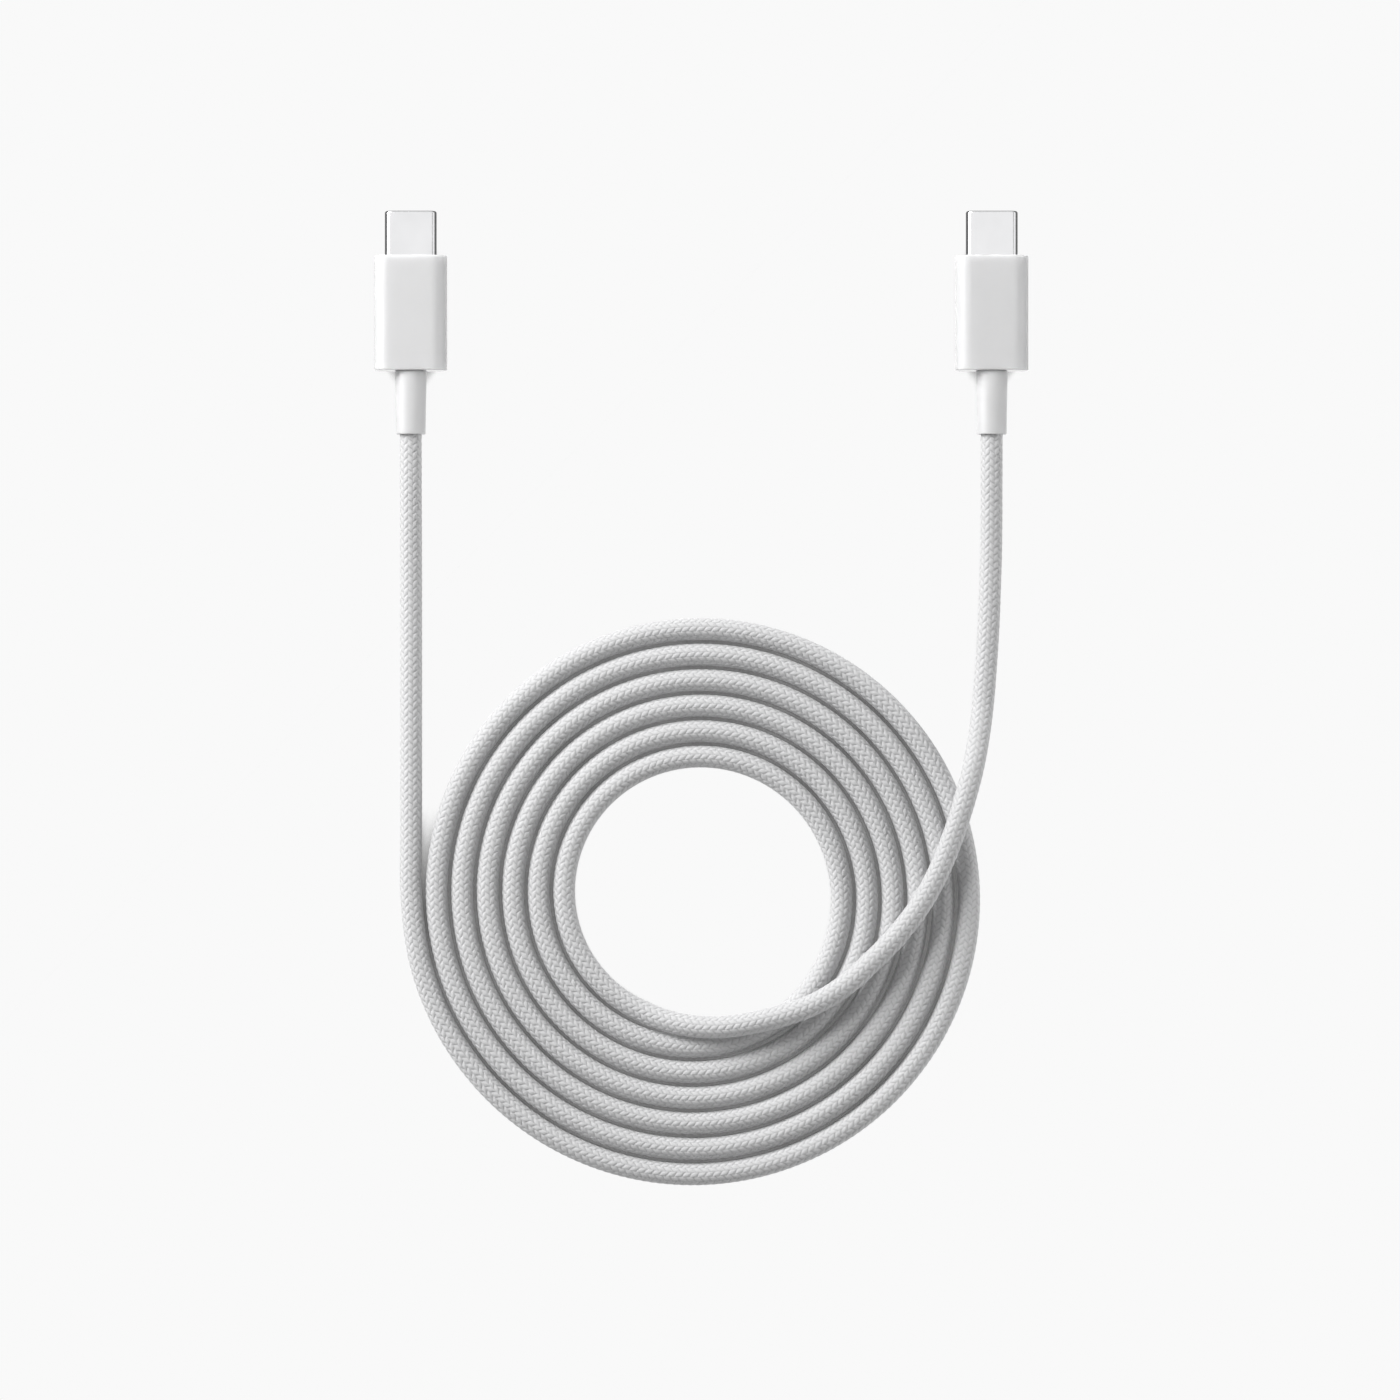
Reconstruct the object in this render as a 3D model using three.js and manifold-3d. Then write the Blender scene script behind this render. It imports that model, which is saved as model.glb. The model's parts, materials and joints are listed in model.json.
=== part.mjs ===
// A braided charging cable: a flat coil of cord with a reversible plug on each end.
//
// Millimetres. +X runs from the left plug to the right plug, +Y is the way both plugs point
// and +Z is up. The origin lies on the surface that the cable rests on, midway between the
// two plugs. Each plug is built about its own axis and then placed, so both are the same.

import * as THREE from 'three';
import { mergeVertices } from 'three/addons/utils/BufferGeometryUtils.js';
import Module from 'manifold-3d';

// ---------------------------------------------------------------- driving dimensions

// the whole plug, along Y
const SHELL_EXPOSED = 7.1;
const COVER_LENGTH = 18.2;
const RELIEF_LENGTH = 10.1;
const PLUG_AXIS_X = 46.05;

// the steel shell that enters the socket
const SHELL_WIDTH = 8.25;
const SHELL_HEIGHT = 2.4;
const SHELL_WALL = 0.25;
const SHELL_TAIL = 3.6;

// the outer cover
const COVER_WIDTH = 11.6;
const COVER_THICKNESS = 6.0;
const COVER_CORNER = 2.6;
const COVER_WALL = 0.9;
const COVER_EDGE = 0.35;

// the strain relief
const RELIEF_FRONT_RADIUS = 2.55;
const RELIEF_END_RADIUS = 2.36;
const RELIEF_BORE_RADIUS = 1.9;

// the cord and its coil
const CORD_RADIUS = 1.75;
const COIL_RADIUS = 45.3;
const COIL_PITCH = 4.05;
const COIL_TURNS = 6.125;
const COIL_CENTRE_Y = -90.8;
const COIL_CHAMFER = 0.9;

// the flat insides of the plug
const BOARD_THICKNESS = 0.8;
const CONTACT_COUNT = 12;
const CONTACT_PITCH = 0.5;
const SHIELD_WIDTH = 8.6;
const SHIELD_THICKNESS = 3.2;
const SHIELD_CHAMFER = 0.5;

// clearances
const FIT_GAP = 0.06;
const CORD_GAP = 0.3;

// ---------------------------------------------------------------- places worked out from them

const PLUG_LENGTH = SHELL_EXPOSED + COVER_LENGTH + RELIEF_LENGTH;
const TIP_Y = PLUG_LENGTH / 2;
const COVER_FRONT_Y = TIP_Y - SHELL_EXPOSED;
const COVER_REAR_Y = COVER_FRONT_Y - COVER_LENGTH;
const RELIEF_END_Y = -TIP_Y;
const PLUG_HEIGHT = COVER_THICKNESS / 2;

const COIL_CENTRE_X = COIL_RADIUS - PLUG_AXIS_X;
const COIL_START_ANGLE = Math.PI;

const SHELL_REAR_Y = COVER_FRONT_Y - SHELL_TAIL;
const HOUSING_FRONT_Y = TIP_Y - 0.3;
const HOUSING_REAR_Y = SHELL_REAR_Y + 1;
const CAVITY_WIDTH = 6.8;
const CAVITY_HEIGHT = 1.3;

const BOARD_FRONT_Y = SHELL_REAR_Y - 0.3;
const BOARD_REAR_Y = BOARD_FRONT_Y - 8.7;
const BOARD_WIDTH = 8.0;
const BOARD_TOP = BOARD_THICKNESS / 2;
const CORD_END_Y = BOARD_REAR_Y - 2.25;

// where the free cord bends when a plug is swung to one side
const BEND_Y = RELIEF_END_Y - 15;
const BEND_HEIGHT = 2.25;

// ---------------------------------------------------------------- solids, joins and cuts

const wasm = await Module();
wasm.setup();

/** A closed geometry as a manifold solid. */
function toSolid(geometry) {
  const bare = geometry.clone();
  bare.deleteAttribute('normal');
  bare.deleteAttribute('uv');
  const merged = mergeVertices(bare, 1e-5);
  const mesh = new wasm.Mesh({
    numProp: 3,
    vertProperties: new Float32Array(merged.attributes.position.array),
    triVerts: new Uint32Array(merged.index.array),
  });
  return new wasm.Manifold(mesh);
}

/** A manifold solid as a geometry. */
function toGeometry(solid) {
  const mesh = solid.getMesh();
  const geometry = new THREE.BufferGeometry();
  geometry.setAttribute('position', new THREE.BufferAttribute(mesh.vertProperties, 3));
  geometry.setIndex(new THREE.BufferAttribute(mesh.triVerts, 1));
  geometry.computeVertexNormals();
  return geometry;
}

/** The first geometry with every other one taken away. */
function cut(body, ...tools) {
  return toGeometry(tools.reduce((solid, tool) => solid.subtract(toSolid(tool)), toSolid(body)));
}

/** All the geometries as one. */
function join(body, ...others) {
  return toGeometry(others.reduce((solid, other) => solid.add(toSolid(other)), toSolid(body)));
}

/** A box between two corners. */
function box(low, high) {
  const size = high.map((value, axis) => value - low[axis]);
  const middle = high.map((value, axis) => (value + low[axis]) / 2);
  return new THREE.BoxGeometry(...size).translate(...middle);
}

// ---------------------------------------------------------------- outlines

/** A rectangle with round ends, centred on the origin. */
function roundEnded(width, height) {
  const radius = height / 2;
  const reach = width / 2 - radius;
  const shape = new THREE.Shape();
  shape.absarc(reach, 0, radius, -Math.PI / 2, Math.PI / 2, false);
  shape.absarc(-reach, 0, radius, Math.PI / 2, 1.5 * Math.PI, false);
  shape.closePath();
  return shape;
}

/** A rectangle with round corners, centred on the origin. */
function roundCornered(width, height, radius) {
  const x = width / 2 - radius;
  const y = height / 2 - radius;
  const shape = new THREE.Shape();
  shape.absarc(x, -y, radius, -Math.PI / 2, 0, false);
  shape.absarc(x, y, radius, 0, Math.PI / 2, false);
  shape.absarc(-x, y, radius, Math.PI / 2, Math.PI, false);
  shape.absarc(-x, -y, radius, Math.PI, 1.5 * Math.PI, false);
  shape.closePath();
  return shape;
}

/** A rectangle with its corners cut off, centred on the origin. */
function chamferedRectangle(width, height, chamfer) {
  const x = width / 2;
  const y = height / 2;
  return polygon([
    [x, -y + chamfer], [x, y - chamfer], [x - chamfer, y], [-x + chamfer, y],
    [-x, y - chamfer], [-x, -y + chamfer], [-x + chamfer, -y], [x - chamfer, -y],
  ]);
}

/** A straight-sided outline through the given points. */
function polygon(points) {
  return new THREE.Shape(points.map(([x, y]) => new THREE.Vector2(x, y)));
}

/** A section drawn in X and Z, carried along Y. Its ends may be eased by a small chamfer. */
function alongY(section, rear, front, ease = 0, curveSegments = 6) {
  const geometry = new THREE.ExtrudeGeometry(section, {
    depth: front - rear - 2 * ease,
    curveSegments,
    bevelEnabled: ease > 0,
    bevelThickness: ease,
    bevelSize: ease,
    bevelOffset: -ease,
    bevelSegments: 2,
  });
  return geometry.rotateX(Math.PI / 2).translate(0, front - ease, 0);
}

/** A side view drawn in Y and Z, carried along X. */
function alongX(side, low, high) {
  const geometry = new THREE.ExtrudeGeometry(side, { depth: high - low, bevelEnabled: false });
  const turn = new THREE.Matrix4().makeBasis(
    new THREE.Vector3(0, 1, 0),
    new THREE.Vector3(0, 0, 1),
    new THREE.Vector3(1, 0, 0),
  );
  return geometry.applyMatrix4(turn).translate(low, 0, 0);
}

/** A plan drawn in X and Y, carried along Z. */
function alongZ(plan, low, high) {
  const geometry = new THREE.ExtrudeGeometry(plan, { depth: high - low, bevelEnabled: false });
  return geometry.translate(0, 0, low);
}

/** A profile of [radius, y] pairs turned about the Y axis. It closes on itself. */
function turned(profile, segments = 24) {
  const points = [...profile, profile[0]].map(([radius, y]) => new THREE.Vector2(radius, y));
  return new THREE.LatheGeometry(points, segments);
}

/** A round tube through the given points. */
function tube(points, radius, sides, steps) {
  const corners = Array.from({ length: sides }, (_, i) => {
    const angle = (2 * Math.PI * i) / sides;
    return [radius * Math.cos(angle), radius * Math.sin(angle)];
  });
  const path = new THREE.CatmullRomCurve3(points.map((point) => new THREE.Vector3(...point)));
  return new THREE.ExtrudeGeometry(polygon(corners), { steps, extrudePath: path });
}

// ---------------------------------------------------------------- materials

const FINISHES = {
  steel: { color: 0xe6e7e8, roughness: 0.28, metalness: 1.0 },
  spring: { color: 0xc9ccd0, roughness: 0.35, metalness: 1.0 },
  gold: { color: 0xe0b45a, roughness: 0.3, metalness: 1.0 },
  tin: { color: 0xb8bcc0, roughness: 0.45, metalness: 1.0 },
  insulator: { color: 0x17181a, roughness: 0.55, metalness: 0.0 },
  board: { color: 0x14532f, roughness: 0.45, metalness: 0.0 },
  chip: { color: 0x1b1b1d, roughness: 0.5, metalness: 0.0 },
  ceramic: { color: 0x9a7a52, roughness: 0.6, metalness: 0.0 },
  mould: { color: 0xd9d6cc, roughness: 0.6, metalness: 0.0 },
  cover: { color: 0xf1f1f1, roughness: 0.22, metalness: 0.0 },
  relief: { color: 0xefefef, roughness: 0.35, metalness: 0.0 },
  braid: { color: 0xe4e4e5, roughness: 0.8, metalness: 0.0 },
  red: { color: 0xb3202a, roughness: 0.5, metalness: 0.0 },
  black: { color: 0x1c1c1c, roughness: 0.5, metalness: 0.0 },
  white: { color: 0xe8e8e8, roughness: 0.5, metalness: 0.0 },
  green: { color: 0x2f7d3a, roughness: 0.5, metalness: 0.0 },
  blue: { color: 0x2a4fa0, roughness: 0.5, metalness: 0.0 },
};

/** A named mesh with its own material. */
function piece(name, finish, geometry) {
  const mesh = new THREE.Mesh(geometry, new THREE.MeshStandardMaterial(FINISHES[finish]));
  mesh.name = name;
  return mesh;
}

// ---------------------------------------------------------------- the plug's front end

/** The drawn steel tube that enters the socket. */
function connectorShell() {
  const section = roundEnded(SHELL_WIDTH, SHELL_HEIGHT);
  section.holes.push(roundEnded(SHELL_WIDTH - 2 * SHELL_WALL, SHELL_HEIGHT - 2 * SHELL_WALL));
  return alongY(section, SHELL_REAR_Y, TIP_Y);
}

/** The moulded insulator inside the shell, slotted at both sides for the latches. */
function contactHousing() {
  const width = SHELL_WIDTH - 2 * (SHELL_WALL + FIT_GAP);
  const height = SHELL_HEIGHT - 2 * (SHELL_WALL + FIT_GAP);
  const section = roundEnded(width, height);
  section.holes.push(roundCornered(CAVITY_WIDTH, CAVITY_HEIGHT, 0.3));
  const body = alongY(section, HOUSING_REAR_Y, HOUSING_FRONT_Y, 0, 5);
  const slotRear = HOUSING_REAR_Y + 0.2;
  const slotFront = HOUSING_FRONT_Y - 1.8;
  const slotHalfHeight = 0.5;
  const slot = box([-width, slotRear, -slotHalfHeight], [width, slotFront, slotHalfHeight]);
  return cut(body, slot);
}

/** A row of equal fingers on one bar. */
function comb(count, pitch, width, side, bar) {
  const fingers = Array.from({ length: count }, (_, i) => {
    const middle = (i - (count - 1) / 2) * pitch;
    return alongX(polygon(side), middle - width / 2, middle + width / 2);
  });
  return join(bar, ...fingers);
}

/** One row of contacts: tails on the board, a moulded bar, and fingers bowed to the tongue. */
function contactRow(sign) {
  const rear = HOUSING_REAR_Y + 0.1;
  const tailRear = BOARD_FRONT_Y - 1.3;
  const side = [
    [tailRear, 0.47],
    [rear + 1, 0.47],
    [rear + 4.6, 0.42],
    [rear + 5.8, 0.35],
    [rear + 6.6, 0.45],
    [rear + 6.6, 0.6],
    [rear + 5.8, 0.5],
    [rear + 4.6, 0.57],
    [rear + 1, 0.6],
    [tailRear, 0.6],
  ].map(([y, z]) => [y, sign * z]);
  const barLow = Math.min(sign * 0.16, sign * 0.6);
  const barHigh = Math.max(sign * 0.16, sign * 0.6);
  const bar = box([-3.1, rear, barLow], [3.1, rear + 1.2, barHigh]);
  return comb(CONTACT_COUNT, CONTACT_PITCH, 0.28, side, bar);
}

/** The springs that touch the socket's shield, just inside the mouth. */
function groundSpring(sign) {
  const front = HOUSING_FRONT_Y - 0.15;
  const side = [
    [front - 1.7, 0.5],
    [front - 1.1, 0.36],
    [front - 0.3, 0.48],
    [front - 0.3, 0.6],
    [front - 1.1, 0.46],
    [front - 1.7, 0.6],
  ].map(([y, z]) => [y, sign * z]);
  const low = Math.min(sign * 0.48, sign * 0.6);
  const high = Math.max(sign * 0.48, sign * 0.6);
  const strip = box([-2.9, front - 0.35, low], [2.9, front, high]);
  return comb(4, 1.4, 0.8, side, strip);
}

/** The plate between the two rows of contacts, which grounds the latches. */
function middlePlate() {
  return box([-3.28, HOUSING_REAR_Y + 0.1, -0.1], [3.28, HOUSING_REAR_Y + 3.4, 0.1]);
}

/** A spring arm with a hook that grips a notch in the side of the socket's tongue. */
function sideLatch(side) {
  const rear = HOUSING_REAR_Y + 0.4;
  const plan = [
    [3.37, rear],
    [3.55, rear],
    [3.55, rear + 6.3],
    [3.3, rear + 6.7],
    [3.02, rear + 6.0],
    [3.02, rear + 5.6],
    [3.34, rear + 4.9],
  ].map(([x, y]) => [side * x, y]);
  return alongZ(polygon(plan), -0.3, 0.3);
}

// ---------------------------------------------------------------- the plug's board and wires

/** The small circuit board that joins the contacts to the wires. */
function paddleBoard() {
  return box([-BOARD_WIDTH / 2, BOARD_REAR_Y, -BOARD_TOP], [BOARD_WIDTH / 2, BOARD_FRONT_Y, BOARD_TOP]);
}

/** A block soldered on top of the board, with its middle at x, y. */
function boardBlock(x, y, width, length, height) {
  const low = BOARD_TOP + FIT_GAP;
  return box([x - width / 2, y - length / 2, low], [x + width / 2, y + length / 2, low + height]);
}

/** One half of the pressed shield around the board: a shallow channel. */
function shieldHalf(sign) {
  const wall = 0.15;
  const rear = BOARD_REAR_Y - 1.9;
  const front = SHELL_REAR_Y - 0.1;
  const outside = alongY(chamferedRectangle(SHIELD_WIDTH, SHIELD_THICKNESS, SHIELD_CHAMFER), rear, front);
  const hollow = alongY(
    chamferedRectangle(SHIELD_WIDTH - 2 * wall, SHIELD_THICKNESS - 2 * wall, SHIELD_CHAMFER),
    rear - 1, front + 1);
  const low = sign > 0 ? -SHIELD_THICKNESS : -FIT_GAP;
  const high = sign > 0 ? FIT_GAP : SHIELD_THICKNESS;
  return cut(outside, hollow, box([-SHIELD_WIDTH, rear - 1, low], [SHIELD_WIDTH, front + 1, high]));
}

/** Each wire: its finish, its radius, its place in the cord's end and its place on the board. */
const WIRES = {
  power_wire: { finish: 'red', radius: 0.4, from: [0.85, 0], to: [2.6, 0.86] },
  ground_wire: { finish: 'black', radius: 0.4, from: [-0.85, 0], to: [-2.6, 0.86] },
  data_plus_wire: { finish: 'green', radius: 0.25, from: [0, 0.75], to: [0.8, 0.71] },
  data_minus_wire: { finish: 'white', radius: 0.25, from: [0, -0.75], to: [-0.8, -0.71] },
  config_wire: { finish: 'blue', radius: 0.25, from: [0, 0], to: [-0.7, 0.71] },
};

/** A wire from the cord's end up to its pad at the rear of the board. */
function wire({ radius, from, to }) {
  const start = CORD_END_Y + 0.15;
  const third = (axis) => from[axis] + (to[axis] - from[axis]) * 0.35;
  const points = [
    [from[0], start, from[1]],
    [third(0), start + 0.7, third(1)],
    [to[0], BOARD_REAR_Y - 0.2, to[1]],
    [to[0], BOARD_REAR_Y + 1.2, to[1]],
  ];
  return tube(points, radius, 6, 6);
}

// ---------------------------------------------------------------- the plug's outside

/** The resin sleeve between the shield and the outer cover. */
function innerMould() {
  const width = COVER_WIDTH - 2 * COVER_WALL - 0.1;
  const height = COVER_THICKNESS - 2 * COVER_WALL - 0.1;
  const rear = BOARD_REAR_Y - 2.1;
  const front = COVER_FRONT_Y - COVER_WALL - 0.1;
  const outside = alongY(roundCornered(width, height, 1.6), rear, front, 0, 4);
  const bore = chamferedRectangle(SHIELD_WIDTH + 0.1, SHIELD_THICKNESS + 0.1, SHIELD_CHAMFER);
  return cut(outside, alongY(bore, rear - 1, front + 1));
}

/** The hollow outer cover, open at the front for the shell and at the rear for the cord. */
function outerCover() {
  const outside = alongY(
    roundCornered(COVER_WIDTH, COVER_THICKNESS, COVER_CORNER), COVER_REAR_Y, COVER_FRONT_Y, COVER_EDGE, 6);
  const hollow = alongY(
    roundCornered(COVER_WIDTH - 2 * COVER_WALL, COVER_THICKNESS - 2 * COVER_WALL, COVER_CORNER - COVER_WALL),
    COVER_REAR_Y + COVER_WALL, COVER_FRONT_Y - COVER_WALL, 0, 4);
  const mouth = alongY(
    roundEnded(SHELL_WIDTH + 0.2, SHELL_HEIGHT + 0.2), COVER_FRONT_Y - 2 * COVER_WALL, COVER_FRONT_Y + 1);
  const rearHole = turned([[0, COVER_REAR_Y - 1], [2.3, COVER_REAR_Y - 1], [2.3, COVER_REAR_Y + 1.5],
    [0, COVER_REAR_Y + 1.5]]);
  return cut(outside, hollow, mouth, rearHole);
}

/** The tapered sleeve that keeps the cord from kinking behind the cover. */
function strainRelief() {
  const shoulder = COVER_REAR_Y - FIT_GAP;
  const lip = 0.25;
  return turned([
    [RELIEF_BORE_RADIUS, RELIEF_END_Y],
    [RELIEF_END_RADIUS - lip / 2, RELIEF_END_Y],
    [RELIEF_END_RADIUS, RELIEF_END_Y + lip],
    [RELIEF_FRONT_RADIUS, shoulder - lip],
    [RELIEF_FRONT_RADIUS - lip / 2, shoulder],
    [2.2, shoulder],
    [2.2, COVER_REAR_Y + COVER_WALL - 0.1],
    [RELIEF_BORE_RADIUS, COVER_REAR_Y + COVER_WALL - 0.1],
  ]);
}

/** The ring pressed over the cord's jacket inside the cover. */
function crimpRing() {
  const rear = COVER_REAR_Y + COVER_WALL + 0.2;
  const front = CORD_END_Y - 0.15;
  return turned([[1.8, rear], [2.03, rear], [2.03, front], [1.8, front]]);
}

/** The cord that turns with the plug: from the crimp, through the strain relief, to the bend. */
function cordEnd() {
  const drop = BEND_HEIGHT - PLUG_HEIGHT;
  const points = [
    [0, CORD_END_Y, 0],
    [0, RELIEF_END_Y, 0],
    [0, RELIEF_END_Y - 6, 0.2 * drop],
    [0, BEND_Y + CORD_RADIUS + CORD_GAP, 0.8 * drop],
  ];
  return tube(points, CORD_RADIUS, 8, 6);
}

/** A whole plug. inboard is the sign of the X direction from its axis to the other plug. */
function plug(side, inboard) {
  const group = new THREE.Group();
  const add = (name, finish, geometry) => group.add(piece(`${side}_${name}`, finish, geometry));
  add('connector_shell', 'steel', connectorShell());
  add('contact_housing', 'insulator', contactHousing());
  add('upper_contacts', 'gold', contactRow(1));
  add('lower_contacts', 'gold', contactRow(-1));
  add('upper_ground_spring', 'spring', groundSpring(1));
  add('lower_ground_spring', 'spring', groundSpring(-1));
  add('middle_plate', 'spring', middlePlate());
  add('inboard_latch', 'spring', sideLatch(inboard));
  add('outboard_latch', 'spring', sideLatch(-inboard));
  add('paddle_board', 'board', paddleBoard());
  add('marker_chip', 'chip', boardBlock(-1.9, 2.2, 2.6, 2.6, 0.75));
  add('bypass_capacitor', 'ceramic', boardBlock(1.7, 3.2, 1.6, 0.8, 0.6));
  add('bleed_resistor', 'chip', boardBlock(1.7, 1.4, 1.6, 0.8, 0.35));
  add('upper_shield', 'tin', shieldHalf(1));
  add('lower_shield', 'tin', shieldHalf(-1));
  for (const [name, line] of Object.entries(WIRES)) {
    add(name, line.finish, wire(line));
  }
  add('crimp_ring', 'tin', crimpRing());
  add('inner_mould', 'mould', innerMould());
  add('outer_cover', 'cover', outerCover());
  add('strain_relief', 'relief', strainRelief());
  add('cord_end', 'braid', cordEnd());
  group.position.set(-inboard * PLUG_AXIS_X, 0, PLUG_HEIGHT);
  return group;
}

// ---------------------------------------------------------------- the cord

/** Points on a spiral edge of the coil, from one turn count to another. */
function spiralPoints(fromTurn, toTurn, offset, count) {
  return Array.from({ length: count + 1 }, (_, i) => {
    const turn = fromTurn + ((toTurn - fromTurn) * i) / count;
    const angle = COIL_START_ANGLE + 2 * Math.PI * turn;
    const radius = COIL_RADIUS - COIL_PITCH * turn + offset;
    return [COIL_CENTRE_X + radius * Math.cos(angle), COIL_CENTRE_Y + radius * Math.sin(angle)];
  });
}

/** The flat coil as one solid: its outer turn's outside, and its inner turn's inside. */
function cordCoil() {
  const shape = polygon(spiralPoints(0, 1, CORD_RADIUS, 60));
  shape.holes.push(polygon(spiralPoints(COIL_TURNS - 1, COIL_TURNS, -CORD_RADIUS, 40)));
  const geometry = new THREE.ExtrudeGeometry(shape, {
    depth: 2 * (CORD_RADIUS - COIL_CHAMFER),
    bevelThickness: COIL_CHAMFER,
    bevelSize: COIL_CHAMFER,
    bevelOffset: -COIL_CHAMFER,
    bevelSegments: 1,
  });
  return geometry.translate(0, 0, COIL_CHAMFER);
}

// the free cord on the left: from its bend straight down to the coil's outer turn
const LEFT_ROUTE = [
  [-46.05, -32.7, 2.25],
  [-46.05, -37, 1.95],
  [-46.05, -42, 1.78],
  [-46.05, -50, 1.75],
  [-46.05, -58, 1.75],
  [-46.05, -66, 1.75],
  [-46.05, -74, 1.75],
  [-46.05, -82, 1.75],
  [-46.05, -90.5, 1.75],
];

// the free cord on the right: it leaves the inner turn, climbs, crosses the turns in a long
// low hump, comes down outside them and runs up to its bend
const RIGHT_ROUTE = [
  [-14.82, -105.69, 1.75],
  [-12.2, -107.65, 1.78],
  [-9.1, -109.3, 2.05],
  [-5.3, -110.7, 2.85],
  [-0.9, -111.5, 3.95],
  [4.2, -111.5, 4.9],
  [9.3, -110.6, 5.4],
  [14.2, -109.3, 5.58],
  [18.8, -107.4, 5.6],
  [23.0, -104.7, 5.6],
  [26.9, -101.2, 5.6],
  [30.8, -97.2, 5.6],
  [34.5, -92.4, 5.6],
  [37.4, -87.2, 5.6],
  [39.7, -81.6, 5.6],
  [41.6, -75.8, 5.55],
  [43.0, -70.6, 4.85],
  [44.0, -65.6, 3.3],
  [44.7, -60.6, 2.05],
  [45.15, -55.4, 1.76],
  [45.6, -48.5, 1.75],
  [45.85, -42, 1.78],
  [46.0, -37, 1.95],
  [46.05, -32.7, 2.25],
];

/** A free run of cord. Its last or first point is the bend, and ends there in a ball. */
function cordRun(route, bend, steps) {
  const ball = new THREE.SphereGeometry(CORD_RADIUS, 12, 8).translate(...bend);
  return join(tube(route, CORD_RADIUS, 8, steps), ball);
}

// ---------------------------------------------------------------- the whole cable

const cable = new THREE.Group();
cable.add(piece('cord_coil', 'braid', cordCoil()));
cable.add(piece('left_cord_run', 'braid', cordRun(LEFT_ROUTE, LEFT_ROUTE[0], 10)));
cable.add(piece('right_cord_run', 'braid', cordRun(RIGHT_ROUTE, RIGHT_ROUTE.at(-1), 36)));
cable.add(plug('left', 1));
cable.add(plug('right', -1));

export default cable;
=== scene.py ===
"""The looks of a coiled, braided charging cable with a reversible plug on each end.

Everything is in metres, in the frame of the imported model: +X from the left plug to the right
plug, +Y the way the plugs point, +Z up from the surface that the cable lies on.
"""
import json
import logging
import math
from dataclasses import dataclass, field, replace
from enum import Enum

import bmesh
import bpy
import numpy as np
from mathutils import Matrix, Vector


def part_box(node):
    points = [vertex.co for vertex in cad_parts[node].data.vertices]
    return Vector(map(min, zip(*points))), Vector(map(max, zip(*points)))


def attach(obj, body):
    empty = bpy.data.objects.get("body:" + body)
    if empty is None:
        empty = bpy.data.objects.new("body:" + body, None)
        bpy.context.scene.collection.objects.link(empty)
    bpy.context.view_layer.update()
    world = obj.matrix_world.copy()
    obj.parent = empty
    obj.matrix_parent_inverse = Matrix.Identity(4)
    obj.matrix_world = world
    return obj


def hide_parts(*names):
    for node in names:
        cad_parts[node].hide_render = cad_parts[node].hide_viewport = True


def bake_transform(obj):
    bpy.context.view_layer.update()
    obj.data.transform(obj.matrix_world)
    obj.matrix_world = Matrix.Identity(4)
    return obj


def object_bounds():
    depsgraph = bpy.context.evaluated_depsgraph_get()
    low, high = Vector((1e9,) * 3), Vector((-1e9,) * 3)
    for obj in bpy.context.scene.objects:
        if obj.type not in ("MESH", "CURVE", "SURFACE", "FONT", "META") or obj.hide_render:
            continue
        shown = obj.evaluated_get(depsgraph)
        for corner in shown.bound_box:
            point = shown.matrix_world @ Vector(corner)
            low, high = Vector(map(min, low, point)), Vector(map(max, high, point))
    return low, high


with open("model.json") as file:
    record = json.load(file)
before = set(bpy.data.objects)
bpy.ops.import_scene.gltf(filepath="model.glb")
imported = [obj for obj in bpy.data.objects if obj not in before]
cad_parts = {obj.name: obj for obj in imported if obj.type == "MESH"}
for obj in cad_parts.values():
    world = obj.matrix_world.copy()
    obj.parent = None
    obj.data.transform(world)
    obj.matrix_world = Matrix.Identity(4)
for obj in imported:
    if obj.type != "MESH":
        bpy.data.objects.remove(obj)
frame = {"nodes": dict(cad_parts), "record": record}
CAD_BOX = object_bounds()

LOG = logging.getLogger("charging_cable")
MM = 0.001


class Slot(Enum):
    """The record's material slots."""

    SHELL = "shell_steel"
    INSULATOR = "insulator"
    GOLD = "contact_gold"
    SPRING = "spring_steel"
    BOARD = "board"
    CHIP = "chip"
    CERAMIC = "ceramic"
    TIN = "shield_tin"
    MOULD = "mould_resin"
    COVER = "cover_plastic"
    RELIEF = "relief_plastic"
    BRAID = "cord_braid"
    RED = "wire_red"
    BLACK = "wire_black"
    GREEN = "wire_green"
    WHITE = "wire_white"
    BLUE = "wire_blue"


class Side(Enum):
    """The two ends of the cable."""

    LEFT = "left"
    RIGHT = "right"


# ---------------------------------------------------------------- node trees


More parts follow.
